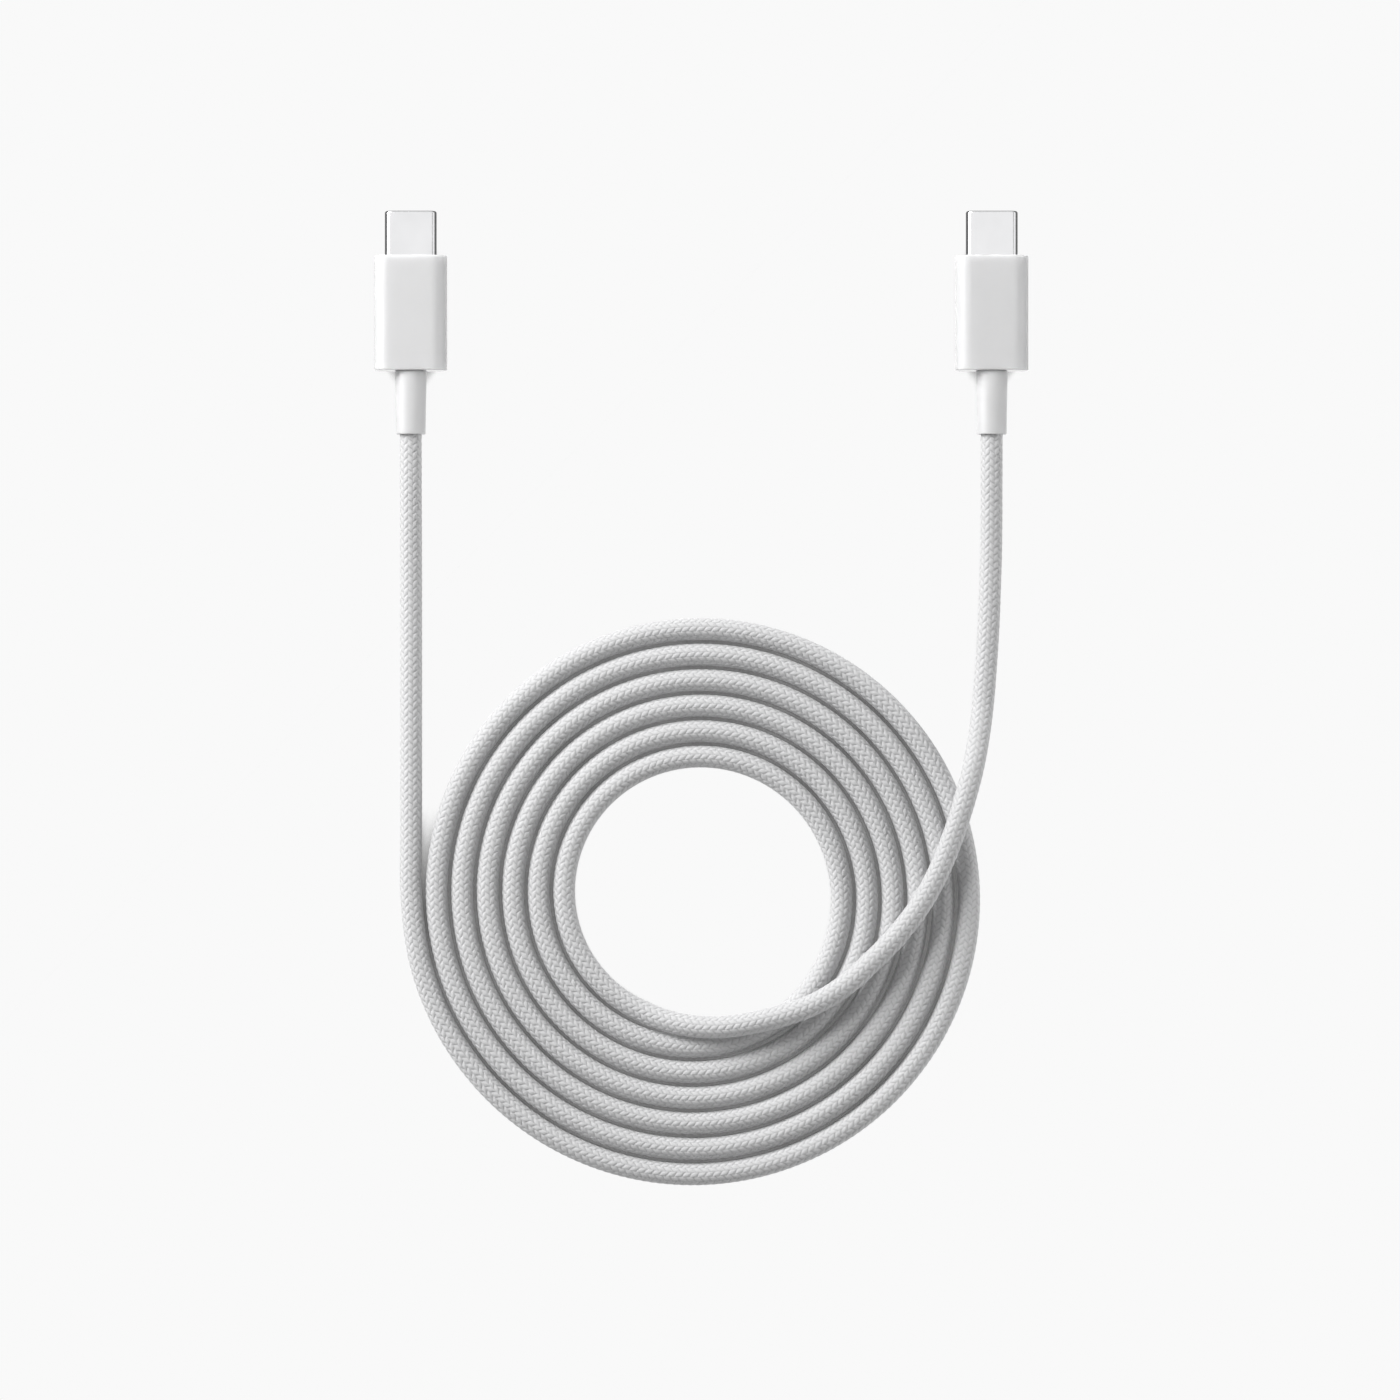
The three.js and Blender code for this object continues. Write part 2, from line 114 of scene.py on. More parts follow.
class Graph:
    """A node tree that is filled by short calls."""

    def __init__(self, tree: bpy.types.NodeTree) -> None:
        """Take the tree to fill.

        Args:
            tree: a shader or Geometry Nodes tree.
        """
        self.tree = tree

    def node(self, kind: str, **settings: object) -> bpy.types.Node:
        """Add a node.

        Args:
            kind: the node's type name.
            settings: properties to set on it.

        Returns:
            The new node.
        """
        made = self.tree.nodes.new(kind)
        for name, value in settings.items():
            setattr(made, name, value)
        return made

    def feed(self, socket: bpy.types.NodeSocket, value: object) -> None:
        """Link a socket to an input, or set the input's own value.

        Args:
            socket: the input.
            value: an output socket, or a plain value.
        """
        if isinstance(value, bpy.types.NodeSocket):
            self.tree.links.new(value, socket)
        else:
            socket.default_value = value

    def maths(self, operation: str, *values: object) -> bpy.types.NodeSocket:
        """Add a Math node.

        Args:
            operation: the node's operation.
            values: its inputs, each a number or a socket.

        Returns:
            Its output.
        """
        made = self.node("ShaderNodeMath", operation=operation)
        for socket, value in zip(made.inputs, values):
            self.feed(socket, value)
        return made.outputs[0]

    def noise(self, vector: bpy.types.NodeSocket, scale: float,
              detail: float = 3.0) -> bpy.types.NodeSocket:
        """Add a Noise Texture.

        Args:
            vector: where it is read.
            scale: features per metre, about.
            detail: octaves.

        Returns:
            Its grey output, from 0 to 1.
        """
        made = self.node("ShaderNodeTexNoise")
        self.feed(made.inputs["Vector"], vector)
        made.inputs["Scale"].default_value = scale
        made.inputs["Detail"].default_value = detail
        return made.outputs[0]

    def between(self, value: object, low: float, high: float, start: float = 0.0,
                end: float = 1.0) -> bpy.types.NodeSocket:
        """Map a range of a value to another range.

        Args:
            value: the socket to map.
            low: the result at start.
            high: the result at end.
            start: the value that gives low.
            end: the value that gives high.

        Returns:
            The mapped output.
        """
        made = self.node("ShaderNodeMapRange")
        for socket, number in zip(made.inputs, (value, start, end, low, high)):
            self.feed(socket, number)
        return made.outputs[0]

    def blend(self, share: object, first: tuple, second: tuple) -> bpy.types.NodeSocket:
        """Mix two colours.

        Args:
            share: how much of the second.
            first: an RGB colour.
            second: an RGB colour.

        Returns:
            The mixed colour's output.
        """
        made = self.node("ShaderNodeMix", data_type="RGBA")
        self.feed(made.inputs[0], share)
        made.inputs[6].default_value = (*first, 1.0)
        made.inputs[7].default_value = (*second, 1.0)
        return made.outputs[2]

    def bump(self, surface: bpy.types.Node, height: object, strength: float, distance: float) -> None:
        """Give a shader a bump.

        Args:
            surface: the Principled shader.
            height: the output that says how high the surface stands, from 0 to 1.
            strength: how much of the bump counts.
            distance: how far a height of 1 stands out.
        """
        made = self.node("ShaderNodeBump")
        made.inputs["Strength"].default_value = strength
        made.inputs["Distance"].default_value = distance
        self.feed(made.inputs["Height"], height)
        self.feed(surface.inputs["Normal"], made.outputs[0])


def shader(name: str) -> tuple[Graph, bpy.types.Node, bpy.types.Material]:
    """Start a material.

    Args:
        name: the material's name.

    Returns:
        Its graph, its Principled shader and the material.
    """
    material = bpy.data.materials.new(name)
    material.use_nodes = True
    graph = Graph(material.node_tree)
    return graph, material.node_tree.nodes["Principled BSDF"], material


# ---------------------------------------------------------------- finishes


@dataclass(frozen=True)
class Moulded:
    """Moulded or extruded plastic, cast resin, or a fired or printed surface."""

    name: str
    colour: tuple[float, float, float]
    roughness: float = 0.35
    mottle: float = 0.03
    grain_per_metre: float = 3600.0
    clouds_each_grain: float = 0.05
    grain_height: float = 0.004 * MM
    uneven_gloss: float = 0.15
    coat: float = 0.0
    bleed: float = 0.0
    bleed_reach: float = 2.2 * MM

    def material(self) -> bpy.types.Material:
        """Build the material with a faint mottle, a fine skin and uneven gloss.

        Returns:
            The material.
        """
        graph, surface, material = shader(self.name)
        place = graph.node("ShaderNodeTexCoord").outputs["Object"]
        cloud = graph.noise(place, self.grain_per_metre * self.clouds_each_grain)
        grain = graph.noise(place, self.grain_per_metre, detail=2.0)
        darker = tuple(share * (1.0 - self.mottle) for share in self.colour)
        graph.feed(surface.inputs["Base Color"], graph.blend(cloud, self.colour, darker))
        glossy, dull = self.roughness * (1 - self.uneven_gloss), self.roughness * (1 + self.uneven_gloss)
        graph.feed(surface.inputs["Roughness"], graph.between(grain, glossy, dull))
        graph.bump(surface, grain, strength=0.4, distance=self.grain_height)
        surface.inputs["Coat Weight"].default_value = self.coat
        surface.inputs["Coat Roughness"].default_value = 0.08
        surface.inputs["Subsurface Weight"].default_value = self.bleed
        surface.inputs["Subsurface Radius"].default_value = (1.0, 1.0, 1.0)
        surface.inputs["Subsurface Scale"].default_value = self.bleed_reach
        return material


@dataclass(frozen=True)
class Metal:
    """Drawn, rolled or plated metal with a faint grain along Y."""

    name: str
    colour: tuple[float, float, float]
    roughness: float = 0.3
    streaks: float = 0.25
    streaks_per_metre: float = 16000.0
    streak_slimness: float = 0.03
    streak_height: float = 0.002 * MM
    smudges_per_metre: float = 260.0
    smudge: float = 0.12

    def material(self) -> bpy.types.Material:
        """Build the material with streaks along the way the metal was drawn.

        Returns:
            The material.
        """
        graph, surface, material = shader(self.name)
        place = graph.node("ShaderNodeTexCoord").outputs["Object"]
        stretch = graph.node("ShaderNodeMapping")
        graph.feed(stretch.inputs["Vector"], place)
        stretch.inputs["Scale"].default_value = (1.0, self.streak_slimness, 1.0)
        streak = graph.noise(stretch.outputs[0], self.streaks_per_metre, detail=4.0)
        smudge = graph.noise(place, self.smudges_per_metre, detail=2.0)
        darker = tuple(share * (1.0 - self.smudge) for share in self.colour)
        graph.feed(surface.inputs["Base Color"], graph.blend(smudge, self.colour, darker))
        glossy, dull = self.roughness * (1 - self.streaks), self.roughness * (1 + self.streaks)
        graph.feed(surface.inputs["Roughness"], graph.between(streak, glossy, dull, start=0.25, end=0.75))
        graph.bump(surface, streak, strength=0.15, distance=self.streak_height)
        surface.inputs["Metallic"].default_value = 1.0
        return material


@dataclass(frozen=True)
class Herringbone:
    """The way flat yarns lie in a braid: columns along the cord, slanting to either side in turn."""

    slant: float = 0.45

    def place(self, graph: Graph, around: object, along: object) -> tuple:
        """Find where a point lies in its yarn.

        Args:
            graph: the tree to add to.
            around: columns counted round the cord.
            along: repeats counted along the cord.

        Returns:
            The share across the column and the share across the yarn, both from 0 to 1.
        """
        column = graph.maths("FRACT", around)
        odd = graph.maths("FLOORED_MODULO", graph.maths("FLOOR", around), 2.0)
        lean = graph.maths("MULTIPLY_ADD", odd, -2.0 * self.slant, self.slant)
        shift = graph.maths("MULTIPLY", lean, graph.maths("SUBTRACT", column, 0.5))
        step = graph.maths("MULTIPLY_ADD", odd, 0.5, along)
        return column, graph.maths("FRACT", graph.maths("ADD", step, shift))


@dataclass(frozen=True)
class BraidedYarn:
    """A sleeve of flat yarns in a herringbone braid.

    The piece's UV map counts columns round the cord in U and repeats along it in V. Its colour is painted
    lighter on the yarn crowns and darker in the gaps between yarns, as painted light and shade.
    """

    name: str = "braided_yarn"
    lay: Herringbone = Herringbone()
    # The painted lit colour of the yarn crowns, and the painted shade colour of the gaps between yarns.
    light: tuple[float, float, float] = (0.62, 0.62, 0.625)
    shade: tuple[float, float, float] = (0.47, 0.47, 0.475)
    filaments: float = 4.0
    filament_height: float = 0.03
    fuzz_per_metre: float = 4200.0
    fuzz_height: float = 0.10
    crown_flatness: float = 2.4
    tuck_flatness: float = 3.0
    tuck_depth: float = 0.55
    full_crown: float = 0.6
    # How far towards the painted lit colour a full crown goes.
    painted_crown_light: float = 0.85
    batches_per_metre: float = 90.0
    batch_tone: float = 0.15
    yarn_height: float = 0.10 * MM
    smoothest: float = 0.62
    roughest: float = 0.82

    def material(self) -> bpy.types.Material:
        """Build the material: yarn crowns, tucked ends, filaments, fuzz, uneven bleach, and painted shade
        in the gaps between yarns.

        Returns:
            The material.
        """
        graph, surface, material = shader(self.name)
        split = graph.node("ShaderNodeSeparateXYZ")
        graph.feed(split.inputs[0], graph.node("ShaderNodeUVMap", uv_map="UVMap").outputs[0])
        column, across = self.lay.place(graph, split.outputs[0], split.outputs[1])
        crown = self._hump(graph, across, self.crown_flatness)
        tuck = self._hump(graph, column, self.tuck_flatness)
        tucked = graph.maths("MULTIPLY_ADD", tuck, self.tuck_depth, 1.0 - self.tuck_depth)
        yarn = graph.maths("MULTIPLY", crown, tucked)
        wave = graph.maths("SINE", graph.maths("MULTIPLY", across, 2.0 * math.pi * self.filaments))
        place = graph.node("ShaderNodeTexCoord").outputs["Object"]
        fuzz = graph.noise(place, self.fuzz_per_metre)
        fluff = graph.maths("MULTIPLY", fuzz, self.fuzz_height)
        fine = graph.maths("MULTIPLY_ADD", wave, self.filament_height, fluff)
        batch = graph.noise(place, self.batches_per_metre, detail=2.0)
        # Painted light and shade: the colour runs from the shade colour in the gaps between yarns to the
        # light colour on their crowns. The batch noise adds real uneven bleach on top.
        lit = graph.between(yarn, 0.0, self.painted_crown_light, end=self.full_crown)
        tone = graph.maths("MULTIPLY_ADD", batch, self.batch_tone, lit)
        graph.feed(surface.inputs["Base Color"], graph.blend(tone, self.shade, self.light))
        graph.bump(surface, graph.maths("ADD", yarn, fine), strength=1.0, distance=self.yarn_height)
        graph.feed(surface.inputs["Roughness"], graph.between(fuzz, self.smoothest, self.roughest))
        surface.inputs["Sheen Weight"].default_value = 0.25
        surface.inputs["Sheen Roughness"].default_value = 0.45
        surface.inputs["Specular IOR Level"].default_value = 0.35
        return material

    @staticmethod
    def _hump(graph: Graph, share: object, power: float) -> bpy.types.NodeSocket:
        """A hump that is 1 in the middle of a step and 0 at both its ends.

        Args:
            graph: the material's graph.
            share: the place in the step, from 0 to 1.
            power: how flat the top is.

        Returns:
            The hump's height.
        """
        offset = graph.maths("ABSOLUTE", graph.maths("MULTIPLY_ADD", share, 2.0, -1.0))
        return graph.maths("SUBTRACT", 1.0, graph.maths("POWER", offset, power))


FINISHES = {
    Slot.SHELL: Metal("drawn_stainless", (0.84, 0.84, 0.85), roughness=0.16, streaks=0.3),
    Slot.INSULATOR: Moulded("black_insulator", (0.012, 0.012, 0.014), roughness=0.42),
    Slot.GOLD: Metal("gold_plate", (0.86, 0.60, 0.24), roughness=0.22, streaks=0.15),
    Slot.SPRING: Metal("spring_steel", (0.66, 0.67, 0.69), roughness=0.28, streaks=0.3),
    Slot.BOARD: Moulded("solder_mask", (0.015, 0.11, 0.045), roughness=0.3, mottle=0.25,
                        grain_per_metre=6000.0, coat=0.4),
    Slot.CHIP: Moulded("chip_resin", (0.014, 0.014, 0.016), roughness=0.5, mottle=0.1,
                       grain_per_metre=12000.0),
    Slot.CERAMIC: Moulded("fired_ceramic", (0.36, 0.23, 0.12), roughness=0.55, mottle=0.2,
                          grain_per_metre=10000.0),
    Slot.TIN: Metal("tin_plate", (0.62, 0.63, 0.64), roughness=0.42, streaks=0.35),
    Slot.MOULD: Moulded("cast_resin", (0.72, 0.70, 0.62), roughness=0.5, mottle=0.08,
                        grain_per_metre=2800.0),
    Slot.COVER: Moulded("white_gloss_cover", (0.73, 0.73, 0.735), roughness=0.16, mottle=0.02,
                        coat=0.5, bleed=0.7),
    Slot.RELIEF: Moulded("white_relief", (0.775, 0.775, 0.78), roughness=0.3, mottle=0.02,
                         coat=0.3, bleed=0.7),
    Slot.BRAID: BraidedYarn(),
    Slot.RED: Moulded("red_insulation", (0.45, 0.02, 0.03)),
    Slot.BLACK: Moulded("black_insulation", (0.018, 0.018, 0.018)),
    Slot.GREEN: Moulded("green_insulation", (0.03, 0.22, 0.06)),
    Slot.WHITE: Moulded("white_insulation", (0.75, 0.75, 0.75)),
    Slot.BLUE: Moulded("blue_insulation", (0.03, 0.08, 0.35)),
}


class Wardrobe:
    """Makes each finish once and puts it on pieces."""

    def __init__(self) -> None:
        """Start with nothing made."""
        self.made: dict[Slot, bpy.types.Material] = {}

    def finish(self, slot: Slot) -> bpy.types.Material:
        """The material of a slot, made at first use.

        Args:
            slot: the record's material slot.

        Returns:
            The material.
        """
        if slot not in self.made:
            self.made[slot] = FINISHES[slot].material()
        return self.made[slot]

    def dress(self, piece: bpy.types.Object, slot: Slot) -> None:
        """Put a slot's finish on a new piece.

        Args:
            piece: the piece.
            slot: its material slot.
        """
        piece.data.materials.clear()
        piece.data.materials.append(self.finish(slot))

    def dress_frame(self) -> None:
        """Put the finishes on every CAD node that still shows."""
        slots = {part["node"]: Slot(part["material_slot"]) for part in frame["record"]["subparts"]}
        for name, node in frame["nodes"].items():
            if node.hide_render:
                continue
            node.data.materials.clear()
            node.data.materials.append(self.finish(slots[name]))
            LOG.info("dressed %s in %s", name, slots[name].value)


# ---------------------------------------------------------------- the cord


@dataclass(frozen=True)
class CordRoute:
    """The one smooth line that the whole cord follows, from plug to plug."""

    plug_axis: float = 46.05 * MM
    coil_radius: float = 45.3 * MM
    coil_pitch: float = 4.05 * MM
    coil_turns: float = 6.125
    coil_centre_y: float = -90.8 * MM
    rest_height: float = 1.75 * MM
    points_per_turn: int = 24
    steps_per_span: int = 40
    left: tuple = (
        (-46.05, -4.25, 3.0),
        (-46.05, -11.0, 3.0),
        (-46.05, -17.7, 3.0),
        (-46.05, -23.7, 2.85),
        (-46.05, -28.5, 2.53),
        (-46.05, -32.7, 2.25),
        (-46.05, -37, 1.95),
        (-46.05, -42, 1.78),
        (-46.05, -50, 1.75),
        (-46.05, -58, 1.75),
        (-46.05, -66, 1.75),
        (-46.05, -74, 1.75),
        (-46.05, -82, 1.75),
    )
    right: tuple = (
        (-12.2, -107.65, 1.78),
        (-9.1, -109.3, 2.05),
        (-5.3, -110.7, 2.85),
        (-0.9, -111.5, 3.95),
        (4.2, -111.5, 4.9),
        (9.3, -110.6, 5.4),
        (14.2, -109.3, 5.58),
        (18.8, -107.4, 5.6),
        (23.0, -104.7, 5.6),
        (26.9, -101.2, 5.6),
        (30.8, -97.2, 5.6),
        (34.5, -92.4, 5.6),
        (37.4, -87.2, 5.6),
        (39.7, -81.6, 5.6),
        (41.6, -75.8, 5.55),
        (43.0, -70.6, 4.85),
        (44.0, -65.6, 3.3),
        (44.7, -60.6, 2.05),
        (45.15, -55.4, 1.76),
        (45.6, -48.5, 1.75),
        (45.85, -42, 1.78),
        (46.0, -37, 1.95),
        (46.05, -32.7, 2.25),
        (46.05, -28.5, 2.53),
        (46.05, -23.7, 2.85),
        (46.05, -17.7, 3.0),
        (46.05, -11.0, 3.0),
        (46.05, -4.25, 3.0),
    )

    def coil_point(self, turn: float) -> np.ndarray:
        """The coil's centre line after a number of turns from its outer end.

        Args:
            turn: the number of turns, whole or not.

        Returns:
            The point.
        """
        angle = math.pi + 2.0 * math.pi * turn
        radius = self.coil_radius - self.coil_pitch * turn
        x = self.coil_radius - self.plug_axis + radius * math.cos(angle)
        return np.array([x, self.coil_centre_y + radius * math.sin(angle), self.rest_height])

    def knots(self) -> np.ndarray:
        """The points that the line passes through, the coil's turns among them.

        Returns:
            One point to a row.
        """
        steps = int(self.coil_turns * self.points_per_turn)
        coil = [self.coil_point(step / self.points_per_turn) for step in range(steps + 1)]
        return np.vstack([np.array(self.left) * MM, coil, np.array(self.right) * MM])

    def line(self, spacing: float) -> np.ndarray:
        """Points at equal steps along the smooth line.

        Args:
            spacing: the step that is aimed at.

        Returns:
            The points, one to a row.
        """
        knots = self.knots()
        ends = np.vstack([2 * knots[0] - knots[1], knots, 2 * knots[-1] - knots[-2]])
        share = np.linspace(0.0, 1.0, self.steps_per_span, endpoint=False)[:, None]
        spans = []
        for a, b, c, d in zip(ends[:-3], ends[1:-2], ends[2:-1], ends[3:]):
            spans.append(self._span(a, b, c, d, share))
        fine = np.vstack([*spans, knots[-1:]])
        run = np.concatenate([[0.0], np.cumsum(np.linalg.norm(np.diff(fine, axis=0), axis=1))])
        even = np.linspace(0.0, run[-1], round(run[-1] / spacing) + 1)
        return np.column_stack([np.interp(even, run, fine[:, axis]) for axis in range(3)])

    @staticmethod
    def _span(a: np.ndarray, b: np.ndarray, c: np.ndarray, d: np.ndarray,
              share: np.ndarray) -> np.ndarray:
        """One span of a centripetal Catmull-Rom curve, from b to c.

        Args:
            a: the knot before b.
            b: the first knot of the span.
            c: its last knot.
            d: the knot after c.
            share: the places in the span, from 0 to 1, in a column.

        Returns:
            The points at those places.
        """
        t1 = np.sqrt(np.linalg.norm(b - a))
        t2 = t1 + np.sqrt(np.linalg.norm(c - b))
        t3 = t2 + np.sqrt(np.linalg.norm(d - c))
        t = t1 + (t2 - t1) * share
        ab = (a * (t1 - t) + b * t) / t1
        bc = (b * (t2 - t) + c * (t - t1)) / (t2 - t1)
        cd = (c * (t3 - t) + d * (t - t2)) / (t3 - t2)
        abc = (ab * (t2 - t) + bc * t) / t2
        bcd = (bc * (t3 - t) + cd * (t - t1)) / (t3 - t1)
        return (abc * (t2 - t) + bcd * (t - t1)) / (t2 - t1)


@dataclass
class BraidedCord:
    """The whole free cord, as two lengths that meet inside the coil."""

    route: CordRoute = field(default_factory=CordRoute)
    diameter: float = 3.5 * MM
    radius: float = 1.69 * MM
    relief: float = 0.095 * MM
    tuck_depth: float = 0.7
    columns: int = 14
    repeat: float = 1.2 * MM
    rings_each_repeat: int = 4
    meet_turn: float = 2.49
    bend_half: float = 11.0 * MM

    def build(self, wardrobe: Wardrobe) -> list[bpy.types.Object]:
        """Make both lengths, and hide the CAD nodes that they stand for.

        Args:
            wardrobe: the finishes.

        Returns:
            The two pieces.
        """
        line = self.route.line(self.repeat / self.rings_each_repeat)
        gaps = np.linalg.norm(line - self.route.coil_point(self.meet_turn), axis=1)
        meet = int(np.argmin(gaps))
        tree = self._tree()
        left = self._length("cord_left_length", tree, line[: meet + 1], 0, wardrobe)
        right = self._length("cord_right_length", tree, line[meet:], meet, wardrobe)
        self._tie(left, Side.LEFT, "cord_coil")
        self._tie(right, Side.RIGHT, None)
        return [left, right]

    def _tie(self, piece: bpy.types.Object, side: Side, coil: str | None) -> None:
        """Args:
            piece: the length of cord.
            side: which plug it goes into.
            coil: the coil's node, if this length stands for it too.
        """
        name = side.value
        nodes = [f"{name}_cord_run", f"{name}_cord_end"]
        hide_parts(*nodes, *([coil] if coil else []))
        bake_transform(piece)

    def _length(self, name: str, tree: bpy.types.NodeTree, path: np.ndarray, first: int,
                wardrobe: Wardrobe) -> bpy.types.Object:
        """Make one length of braid as a closed mesh.

        Args:
            name: the piece's name.
            tree: the braid's node tree.
            path: its centre line, one point to a ring.
            first: the number of its first ring, counted from the left plug.
            wardrobe: the finishes.

        Returns:
            The piece.
        """
        curve = bpy.data.curves.new(name + "_line", "CURVE")
        curve.dimensions = "3D"
        spline = curve.splines.new("POLY")
        spline.points.add(len(path) - 1)
        spline.points.foreach_set("co", np.column_stack([path, np.ones(len(path))]).ravel())
        carrier = bpy.data.objects.new(name + "_line", curve)
        bpy.context.scene.collection.objects.link(carrier)
        modifier = carrier.modifiers.new("braid", "NODES")
        modifier.node_group = tree
        values = {"Radius": self.radius, "Relief": self.relief, "Columns": self.columns,
                  "Rings Each Repeat": self.rings_each_repeat, "First Ring": first,
                  "Finish": wardrobe.finish(Slot.BRAID)}
        for item in tree.interface.items_tree:
            if item.in_out == "INPUT" and item.name in values:
                modifier[item.identifier] = values[item.name]
        evaluated = carrier.evaluated_get(bpy.context.evaluated_depsgraph_get())
        mesh = bpy.data.meshes.new_from_object(evaluated)
        carrier.modifiers.clear()
        bpy.data.objects.remove(carrier)
        self._close(mesh)
        self._count_crossings(mesh)
        mesh.name = name
        piece = bpy.data.objects.new(name, mesh)
        bpy.context.scene.collection.objects.link(piece)
        wardrobe.dress(piece, Slot.BRAID)
        LOG.info("made %s with %d faces", name, len(mesh.polygons))
        return piece

    def _count_crossings(self, mesh: bpy.types.Mesh) -> None:
        """Write the UV map: U counts yarns around the cord and V counts repeats along it.

        Args:
            mesh: the closed tube, with both counts at its points.
        """
        corners = np.zeros(len(mesh.loops), np.int32)
        mesh.loops.foreach_get("vertex_index", corners)
        counts = []
        for name in ("around", "along"):
            values = np.zeros(len(mesh.vertices), np.float32)
            mesh.attributes[name].data.foreach_get("value", values)
            counts.append(values[corners])
        around, along = counts
        sizes = np.zeros(len(mesh.polygons), np.int32)
        mesh.polygons.foreach_get("loop_total", sizes)
        face_of = np.repeat(np.arange(len(sizes)), sizes)
        furthest = np.zeros(len(sizes), np.float32)
        np.maximum.at(furthest, face_of, around)
        seam = furthest[face_of] > self.columns - 1
        around[seam & (around == 0.0)] += self.columns
        uv_map = mesh.uv_layers.new(name="UVMap")
        uv_map.data.foreach_set("uv", np.column_stack([around, along]).ravel())
        for name in ("around", "along"):
            mesh.attributes.remove(mesh.attributes[name])

    @staticmethod
    def _close(mesh: bpy.types.Mesh) -> None:
        """Cap both ends of a tube and turn its faces outwards.

        Args:
            mesh: the open tube.
        """
        work = bmesh.new()
        work.from_mesh(mesh)
        edges = [edge for edge in work.edges if edge.is_boundary]
        bmesh.ops.holes_fill(work, edges=edges, sides=0)
        bmesh.ops.recalc_face_normals(work, faces=work.faces)
        work.to_mesh(mesh)
        work.free()

    def _tree(self) -> bpy.types.NodeTree:
        """Build the braid's Geometry Nodes tree: a tube along a line, raised at each crossing.

        Returns:
            The tree, with its sizes as named inputs.
        """
        tree = bpy.data.node_groups.new("braided_sleeve", "GeometryNodeTree")
        face = tree.interface
        face.new_socket("Geometry", in_out="INPUT", socket_type="NodeSocketGeometry")
        for name in ("Radius", "Relief"):
            face.new_socket(name, in_out="INPUT", socket_type="NodeSocketFloat")
        for name in ("Columns", "Rings Each Repeat", "First Ring"):
            face.new_socket(name, in_out="INPUT", socket_type="NodeSocketInt")
        face.new_socket("Finish", in_out="INPUT", socket_type="NodeSocketMaterial")
        face.new_socket("Geometry", in_out="OUTPUT", socket_type="NodeSocketGeometry")
        graph = Graph(tree)
        given = graph.node("NodeGroupInput").outputs
        sides = graph.maths("MULTIPLY", given["Columns"], 2.0)

        upright = graph.node("GeometryNodeSetCurveNormal", mode="Z_UP")
        graph.feed(upright.inputs["Curve"], given["Geometry"])
        ring = graph.maths("ADD", graph.node("GeometryNodeInputIndex").outputs[0], given["First Ring"])
        lengthways = graph.maths("DIVIDE", ring, given["Rings Each Repeat"])
        along = graph.node("GeometryNodeCaptureAttribute", domain="POINT")
        along.capture_items.new("FLOAT", "Along")
        graph.feed(along.inputs["Geometry"], upright.outputs[0])
        graph.feed(along.inputs["Along"], lengthways)

        loop = graph.node("GeometryNodeCurvePrimitiveCircle", mode="RADIUS")
        graph.feed(loop.inputs["Resolution"], sides)
        graph.feed(loop.inputs["Radius"], given["Radius"])
        around = graph.node("GeometryNodeCaptureAttribute", domain="POINT")
        around.capture_items.new("FLOAT", "Around")
        graph.feed(around.inputs["Geometry"], loop.outputs["Curve"])
        half = graph.maths("DIVIDE", graph.node("GeometryNodeInputIndex").outputs[0], 2.0)
        graph.feed(around.inputs["Around"], half)

        tube = graph.node("GeometryNodeCurveToMesh")
        graph.feed(tube.inputs["Curve"], along.outputs["Geometry"])
        graph.feed(tube.inputs["Profile Curve"], around.outputs["Geometry"])

        height = self._height(graph, around.outputs["Around"], along.outputs["Along"])
        push = graph.node("ShaderNodeVectorMath", operation="SCALE")
        graph.feed(push.inputs[0], graph.node("GeometryNodeInputNormal").outputs[0])
        graph.feed(push.inputs["Scale"], graph.maths("MULTIPLY", height, given["Relief"]))
        raised = graph.node("GeometryNodeSetPosition")
        graph.feed(raised.inputs["Geometry"], tube.outputs[0])
        graph.feed(raised.inputs["Offset"], push.outputs[0])

        named = raised.outputs[0]
        for name, value in (("around", around.outputs["Around"]), ("along", along.outputs["Along"])):
            store = graph.node("GeometryNodeStoreNamedAttribute", data_type="FLOAT", domain="POINT")
            graph.feed(store.inputs["Geometry"], named)
            store.inputs["Name"].default_value = name
            graph.feed(store.inputs["Value"], value)
            named = store.outputs[0]
        smooth = graph.node("GeometryNodeSetShadeSmooth")
        graph.feed(smooth.inputs["Geometry"], named)
        real = graph.node("GeometryNodeRealizeInstances")
        graph.feed(real.inputs["Geometry"], smooth.outputs[0])
        dressed = graph.node("GeometryNodeSetMaterial")
        graph.feed(dressed.inputs["Geometry"], real.outputs[0])
        graph.feed(dressed.inputs["Material"], given["Finish"])
        graph.feed(graph.node("NodeGroupOutput").inputs[0], dressed.outputs[0])
        return tree

    def _height(self, graph: Graph, around: object, along: object) -> bpy.types.NodeSocket:
        """The height of the yarns' outer face, from 0 in a gap to 1 on a crown.

        Args:
            graph: the braid's graph.
            around: columns counted round the cord.
            along: repeats counted along the cord.

        Returns:
            The height.
        """
        column, across = Herringbone().place(graph, around, along)
        crown = graph.maths("SINE", graph.maths("MULTIPLY", across, math.pi))
        tuck = graph.maths("SINE", graph.maths("MULTIPLY", column, math.pi))
        tucked = graph.maths("MULTIPLY_ADD", tuck, self.tuck_depth, 1.0 - self.tuck_depth)
        return graph.maths("MULTIPLY", crown, tucked)


# ---------------------------------------------------------------- the plugs


